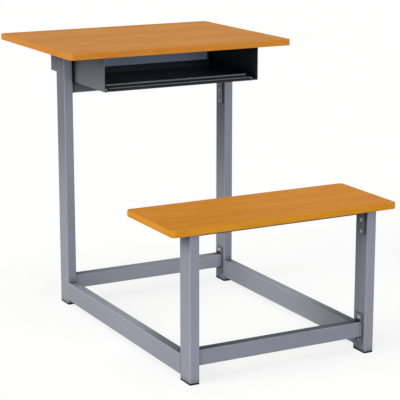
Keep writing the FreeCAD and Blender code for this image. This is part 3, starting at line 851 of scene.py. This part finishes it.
# The box paint, with painted shade in hollows and on the walls that face the middle.
BOX_COAT = PowderCoat(
    "box_powder_coat",
    colour=linear(102, 106, 112),
    edge=linear(150, 154, 161),
    shade=linear(94, 98, 104),
    joint_reach=0.004,
    hollow=linear(20, 26, 32),
    hollow_reach=0.05,
    lining=0.85,
)
# A darker copy of the box paint for its floor and back wall, as painted shade, with painted shade
# in hollows.
TRAY_SHADED_COAT = PowderCoat(
    "box_tray_shaded_powder_coat",
    colour=linear(46, 50, 55),
    edge=linear(60, 64, 69),
    shade=linear(40, 44, 49),
    hollow=linear(22, 27, 32),
    hollow_reach=0.085,
)
# A lighter copy of the box paint for the lip and bead, as a painted highlight, with near-black
# painted shade in their tight corners.
LIP_LIT_COAT = PowderCoat(
    "box_lip_lit_powder_coat",
    colour=linear(108, 113, 119),
    edge=linear(132, 137, 143),
    shade=linear(98, 103, 109),
    joint=linear(10, 12, 15),
)
BAND_COAT = PowderCoat(
    "box_stiffener_powder_coat",
    colour=linear(140, 160, 178),
    edge=linear(158, 178, 196),
    shade=linear(130, 150, 168),
)
CHIPBOARD = Chipboard("raw_chipboard")
BACKING = BackingSheet("backing_sheet")
CAP_PLASTIC = MouldedPlastic("cap_plastic")
BOLT_ZINC = ZincPlate("bolt_zinc")
SCREW_ZINC = ZincPlate("screw_zinc", roughness=0.36, recess_reach=0.0015)
SCREW_BLACK = ZincPlate(
    "screw_blacking", colour=linear(44, 46, 50), dull=linear(30, 32, 36), roughness=0.45
)


# ---------------------------------------------------------------------------------------------
# Workshop helpers
# ---------------------------------------------------------------------------------------------


class Side(Enum):
    """The sitter's left or right, as the sign of X."""

    LEFT = -1
    RIGHT = 1

    @property
    def word(self) -> str:
        """Give the side's name as it stands in node names."""
        return self.name.lower()


@dataclass
class Desk:
    """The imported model: its nodes, and how they are finished.

    Edges that turn by more than sharp_angle are rounded, in as many steps as rounding_steps says.
    """

    nodes: Mapping[str, bpy.types.Object]
    rounding_steps: int = 2
    sharp_angle: float = math.radians(50)

    def dress(self, finish: Finish, *names: str) -> None:
        """Put a finish on nodes.

        Args:
            finish: The finish.
            names: The nodes' names.
        """
        for name in names:
            for slot in self.nodes[name].material_slots:
                slot.material = finish.material()
            log.info("%s wears %s", name, finish.name)

    def soften(self, radius: float, *names: str) -> None:
        """Round the sharp edges of sheet and plate a little, so that they catch light.

        Args:
            radius: The rounding, in metres.
            names: The nodes' names.
        """
        for name in names:
            bevel = self.nodes[name].modifiers.new("folded_edge", "BEVEL")
            bevel.width = radius
            bevel.segments = self.rounding_steps
            bevel.limit_method = "ANGLE"
            bevel.angle_limit = self.sharp_angle

    def add(self, name: str, mesh: bpy.types.Mesh, finish: Finish, slot: str) -> None:
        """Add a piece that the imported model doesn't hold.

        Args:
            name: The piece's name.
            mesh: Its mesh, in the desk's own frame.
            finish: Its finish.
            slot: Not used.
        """
        piece = bpy.data.objects.new(name, mesh)
        bpy.context.scene.collection.objects.link(piece)
        mesh.materials.append(finish.material())
        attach(piece, "root")
        log.info("%s added with %s", name, finish.name)


@dataclass(frozen=True)
class WeldBead:
    """A straight run of weld: overlapping ripples that fill a corner.

    The valley between two ripples and the tip at each end are shares of the radius. So is clear,
    which tells how far the bead's line stands off the two faces of the corner.
    """

    radius: float = 0.0017
    ripple: float = 0.0022
    rings_per_ripple: int = 3
    sides: int = 8
    valley: float = 0.86
    tip: float = 0.45
    clear: float = 0.35

    @property
    def stand_off(self) -> float:
        """Give the way from either face of the corner to the bead's line."""
        return self.radius * self.clear

    def run(self, work: bmesh.types.BMesh, line: Line) -> None:
        """Lay a bead along a line.

        Args:
            work: The mesh under construction.
            line: Its two ends.
        """
        start, end = (Vector(point) for point in line)
        way = (end - start).normalized()
        first = way.orthogonal().normalized()
        second = way.cross(first)
        steps = max(1, round((end - start).length * self.rings_per_ripple / self.ripple))
        turns = [2 * math.pi * k / self.sides for k in range(self.sides)]
        rings = []
        for index in range(steps + 1):
            swell = abs(math.sin(math.pi * index / self.rings_per_ripple))
            share = self.tip if index in (0, steps) else self.valley + (1 - self.valley) * swell
            size = self.radius * share
            spot = start.lerp(end, index / steps)
            rings.append(
                [
                    work.verts.new(spot + size * (math.cos(turn) * first + math.sin(turn) * second))
                    for turn in turns
                ]
            )
        work.faces.new(list(reversed(rings[0])))
        work.faces.new(rings[-1])
        for ring, following in zip(rings, rings[1:]):
            for k in range(self.sides):
                after = (k + 1) % self.sides
                work.faces.new((ring[k], ring[after], following[after], following[k]))

    def mesh(self, name: str, lines: Sequence[Line]) -> bpy.types.Mesh:
        """Make one mesh of several runs.

        Args:
            name: The mesh's name.
            lines: The two ends of each run.

        Returns:
            The mesh, shaded smooth.
        """
        work = bmesh.new()
        for line in lines:
            self.run(work, line)
        bmesh.ops.recalc_face_normals(work, faces=work.faces)
        mesh = bpy.data.meshes.new(name)
        work.to_mesh(mesh)
        work.free()
        mesh.polygons.foreach_set("use_smooth", [True] * len(mesh.polygons))
        return mesh


# ---------------------------------------------------------------------------------------------
# Sub-assemblies
# ---------------------------------------------------------------------------------------------


@dataclass
class Board:
    """A board of four layers."""

    desk: Desk
    name: str
    top: Finish
    edge: Finish

    def build(self) -> None:
        """Dress the board's layers."""
        self.desk.dress(self.top, f"{self.name}_laminate")
        self.desk.dress(self.edge, f"{self.name}_edge_band")
        self.desk.dress(CHIPBOARD, f"{self.name}_core")
        self.desk.dress(BACKING, f"{self.name}_backing")


@dataclass
class SideFrame:
    """One side: desk post, bench post, floor rail, two arms, head plates and caps.

    The corner is the rounding of the tubes, which the welds keep clear of.
    """

    desk: Desk
    side: Side
    corner: float = 0.003
    plate_edge: float = 0.0006
    bead: WeldBead = WeldBead()

    def build(self) -> None:
        """Dress the side and weld it."""
        word = self.side.word
        plates = (f"{word}_desk_head_plate", f"{word}_seat_head_plate")
        self.desk.dress(
            FRAME_COAT,
            f"{word}_desk_post",
            f"{word}_bench_post",
            f"{word}_floor_rail",
            f"{word}_desk_arm",
            f"{word}_seat_arm",
            *plates,
        )
        self.desk.dress(
            CAP_PLASTIC,
            f"{word}_desk_foot_cap",
            f"{word}_bench_foot_cap",
            f"{word}_desk_arm_plug",
            f"{word}_seat_arm_plug",
        )
        self.desk.soften(self.plate_edge, *plates)
        mesh = self.bead.mesh(f"{word}_frame_welds", self.weld_lines())
        self.desk.add(f"{word}_frame_welds", mesh, FRAME_COAT, "frame_paint")

    def weld_lines(self) -> list[Line]:
        """Find the corners where tubes meet.

        Returns:
            A line across the frame, from its inner face to its outer one, for each corner between
            a tube and a post: over and under the floor rail, and under the two arms.
        """
        word = self.side.word
        rail_low, rail_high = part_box(f"{word}_floor_rail")
        arm_low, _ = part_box(f"{word}_desk_arm")
        seat_low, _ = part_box(f"{word}_seat_arm")
        off = self.bead.stand_off
        corners = (
            (rail_low.y + off, rail_high.z + off),
            (rail_low.y + off, rail_low.z - off),
            (rail_high.y - off, rail_high.z + off),
            (rail_high.y - off, rail_low.z - off),
            (arm_low.y + off, arm_low.z - off),
            (seat_low.y + off, seat_low.z - off),
        )
        inner, outer = sorted((rail_low.x, rail_high.x), key=abs)
        margin = self.corner * self.side.value
        return [((inner + margin, y, z), (outer - margin, y, z)) for y, z in corners]


@dataclass
class CrossRails:
    """The cross rails, the seat bar, and the end plates that bolt them to the posts.

    The corner is the rounding of the tubes, which the welds keep clear of.
    """

    desk: Desk
    tubes: Mapping[str, Finish] = field(
        default_factory=lambda: {
            "desk_upper_rail": RAIL_COAT,
            "desk_lower_rail": FOOTREST_LIT_COAT,
            "bench_lower_rail": BENCH_RAIL_SHADED_COAT,
        }
    )
    bar: str = "bench_seat_bar"
    corner: float = 0.003
    plate_edge: float = 0.0006
    bar_edge: float = 0.0005
    bead: WeldBead = WeldBead(radius=0.0015)

    def build(self) -> None:
        """Dress the rails and weld the tubes to their plates."""
        for name, coat in {**self.tubes, self.bar: BAR_SHADED_COAT}.items():
            plates = [f"{name}_{side.word}_plate" for side in Side]
            self.desk.dress(coat, name)
            self.desk.dress(PLATE_COAT, *plates)
            self.desk.soften(self.plate_edge, *plates)
        self.desk.soften(self.bar_edge, self.bar)
        lines = [line for name in self.tubes for line in self.tube_welds(name)]
        mesh = self.bead.mesh("cross_rail_welds", lines)
        self.desk.add("cross_rail_welds", mesh, FRAME_COAT, "frame_paint")

    def tube_welds(self, name: str) -> list[Line]:
        """Find the upright lines where a tube's front and back faces meet its plates.

        Args:
            name: The tube's node.

        Returns:
            Two lines at each end, clear of the bolts over and under the tube.
        """
        low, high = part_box(name)
        off = self.bead.stand_off
        under, over = low.z + self.corner, high.z - self.corner
        return [
            ((x, y, under), (x, y, over))
            for x in (low.x + off, high.x - off)
            for y in (low.y - off, high.y + off)
        ]


@dataclass
class BookBox:
    """The open-front sheet-steel box under the desktop."""

    desk: Desk
    panels: tuple[str, ...] = ("box_left_panel", "box_right_panel")
    tray: tuple[str, ...] = ("box_floor", "box_back_wall")
    lips: tuple[str, ...] = ("box_groove_bead", "box_front_lip")
    stiffener: str = "box_back_stiffener"
    fold: float = 0.0005

    def build(self) -> None:
        """Dress the box."""
        self.desk.dress(BOX_COAT, *self.panels)
        self.desk.dress(TRAY_SHADED_COAT, *self.tray)
        self.desk.dress(LIP_LIT_COAT, *self.lips)
        self.desk.dress(BAND_COAT, self.stiffener)
        self.desk.soften(self.fold, *self.panels, *self.tray, *self.lips, self.stiffener)


@dataclass
class Fixings:
    """Bolts, nuts, rivets and screws."""

    desk: Desk

    def build(self) -> None:
        """Dress the fixings."""
        self.desk.dress(BOLT_ZINC, "frame_bolts", "frame_weld_nuts")
        self.desk.dress(SCREW_BLACK, "box_rivets", "box_rail_screws")
        self.desk.dress(
            SCREW_ZINC,
            "box_corner_screws",
            "box_top_screws",
            "desktop_screws",
            "seat_screws",
            "seat_bar_screws",
        )


# ---------------------------------------------------------------------------------------------
# Studio
# ---------------------------------------------------------------------------------------------


def bearing(azimuth: float, elevation: float) -> Vector:
    """Give the direction from the desk to a place round it.

    Args:
        azimuth: Degrees round the desk: 0 is in front and 90 at the sitter's right.
        elevation: Degrees above the floor.

    Returns:
        The direction, of length 1.
    """
    turn, rise = math.radians(azimuth), math.radians(elevation)
    level = math.cos(rise)
    return Vector((math.sin(turn) * level, -math.cos(turn) * level, math.sin(rise)))


def aim(thing: bpy.types.Object, from_there: Vector) -> None:
    """Turn a lamp or camera so that it looks from a bearing towards the desk."""
    thing.rotation_mode = "QUATERNION"
    thing.rotation_quaternion = (-from_there).to_track_quat("-Z", "Y")


@dataclass(frozen=True)
class Lamp:
    """A distant soft lamp, with its angles in degrees.

    A strength of 1 shows a white card that faces it as white.
    """

    name: str
    azimuth: float
    elevation: float
    strength: float
    spread: float = 36.0
    colour: Colour = WHITE
    distance: float = 4.0

    def hang(self) -> None:
        """Put the lamp in the scene, shining at the desk."""
        data = bpy.data.lights.new(self.name, "SUN")
        data.energy = self.strength * math.pi
        data.angle = math.radians(self.spread)
        data.color = self.colour
        lamp = bpy.data.objects.new(self.name, data)
        bpy.context.scene.collection.objects.link(lamp)
        from_there = bearing(self.azimuth, self.elevation)
        lamp.location = from_there * self.distance
        aim(lamp, from_there)


@dataclass(frozen=True)
class FloorPaint(Finish):
    """The studio floor: plain white that keeps a soft shadow and shows as white to the eye.

    The lift is how much of what the camera sees is glow instead of paint.
    """

    tone: float = 0.86
    lift: float = 0.76
    glow: float = 1.06

    def mix(self, recipe: Recipe) -> None:
        """Fill the material's tree.

        Args:
            recipe: The empty tree.
        """
        seen = recipe.node("ShaderNodeLightPath")["Is Camera Ray"]
        paint = recipe.node("ShaderNodeBsdfDiffuse", feeds={"Color": (self.tone,) * 3})["BSDF"]
        glow = {"Color": WHITE, "Strength": self.glow}
        white = recipe.node("ShaderNodeEmission", feeds=glow)["Emission"]
        feeds = {0: seen * self.lift, 1: paint, 2: white}
        mixed = recipe.node("ShaderNodeMixShader", feeds=feeds)["Shader"]
        recipe.node("ShaderNodeOutputMaterial", feeds={"Surface": mixed})


@dataclass
class Studio:
    """Floor, world, lamps and camera.

    The lens and the film's width are in millimetres, and the camera's angles in degrees.
    """

    floor_reach: float = 60.0
    sky: float = 0.25
    backdrop: float = 1.0
    lamps: tuple[Lamp, ...] = (
        Lamp("overhead_lamp", azimuth=0.0, elevation=90.0, strength=0.24),
        Lamp("left_lamp", azimuth=-90.0, elevation=32.0, strength=0.65, colour=(1.0, 0.98, 0.93)),
        Lamp("front_lamp", azimuth=0.0, elevation=12.0, strength=0.42, colour=(0.97, 0.99, 1.04)),
    )
    camera_at: Point = (-1.7423, -3.3379, 1.1955)
    camera_azimuth: float = -28.019
    camera_elevation: float = 13.308
    lens: float = 135.0
    film: float = 36.0
    nearest: float = 0.05
    furthest: float = 200.0

    def build(self) -> None:
        """Set the whole studio."""
        self.lay_floor()
        self.light_world()
        for lamp in self.lamps:
            lamp.hang()
        self.set_camera()
        bpy.context.scene.view_settings.view_transform = "Standard"

    def lay_floor(self) -> None:
        """Lay a wide floor at the feet."""
        work = bmesh.new()
        bmesh.ops.create_grid(work, x_segments=1, y_segments=1, size=self.floor_reach)
        mesh = bpy.data.meshes.new("studio_floor")
        work.to_mesh(mesh)
        work.free()
        mesh.materials.append(FloorPaint("floor_paint").material())
        floor = bpy.data.objects.new("studio_floor", mesh)
        bpy.context.scene.collection.objects.link(floor)
        floor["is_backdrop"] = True

    def light_world(self) -> None:
        """Light the room evenly, with a white backdrop for the eye and for reflections."""
        world = bpy.data.worlds.new("studio_world")
        world.use_nodes = True
        bpy.context.scene.world = world
        recipe = Recipe(world.node_tree)
        ray = recipe.node("ShaderNodeLightPath")
        seen = ray["Is Camera Ray"].most(ray["Is Glossy Ray"]).most(ray["Is Transmission Ray"])
        room, backdrop = self._even(recipe, self.sky), self._even(recipe, self.backdrop)
        feeds = {0: seen, 1: room, 2: backdrop}
        mixed = recipe.node("ShaderNodeMixShader", feeds=feeds)["Shader"]
        recipe.node("ShaderNodeOutputWorld", feeds={"Surface": mixed})

    @staticmethod
    def _even(recipe: Recipe, strength: float) -> Wire:
        """Add an even white light from all round."""
        feeds = {"Color": WHITE, "Strength": strength}
        return recipe.node("ShaderNodeBackground", feeds=feeds)["Background"]

    def set_camera(self) -> None:
        """Set the camera at the front left, a little above the boards."""
        data = bpy.data.cameras.new("studio_camera")
        data.lens = self.lens
        data.sensor_width = self.film
        data.sensor_fit = "HORIZONTAL"
        data.clip_start = self.nearest
        data.clip_end = self.furthest
        camera = bpy.data.objects.new("studio_camera", data)
        bpy.context.scene.collection.objects.link(camera)
        camera.location = self.camera_at
        aim(camera, bearing(self.camera_azimuth, self.camera_elevation))
        bpy.context.scene.camera = camera


def write_sizes(frame_box: Sequence[Vector], seen_box: Sequence[Vector]) -> None:
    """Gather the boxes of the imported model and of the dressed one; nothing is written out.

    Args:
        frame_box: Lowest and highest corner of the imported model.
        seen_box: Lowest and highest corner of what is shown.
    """
    sizes = {
        "cad": [list(corner) for corner in frame_box],
        "visual": [list(corner) for corner in seen_box],
    }


def main() -> None:
    """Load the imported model, dress it, and set the studio round it."""
    logging.basicConfig(level=logging.INFO, format="%(message)s")
    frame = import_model()
    frame_box = [corner.copy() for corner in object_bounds()]
    desk = Desk(frame["nodes"])
    assemblies = (
        Board(desk, "desktop", DESKTOP_DECOR, DESKTOP_EDGE),
        Board(desk, "seat", SEAT_DECOR, SEAT_LIPPING),
        *(SideFrame(desk, side) for side in Side),
        CrossRails(desk),
        BookBox(desk),
        Fixings(desk),
        Studio(),
    )
    for assembly in assemblies:
        assembly.build()
        log.info("%s done", type(assembly).__name__)
    write_sizes(frame_box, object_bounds())


if __name__ == "__main__":
    main()
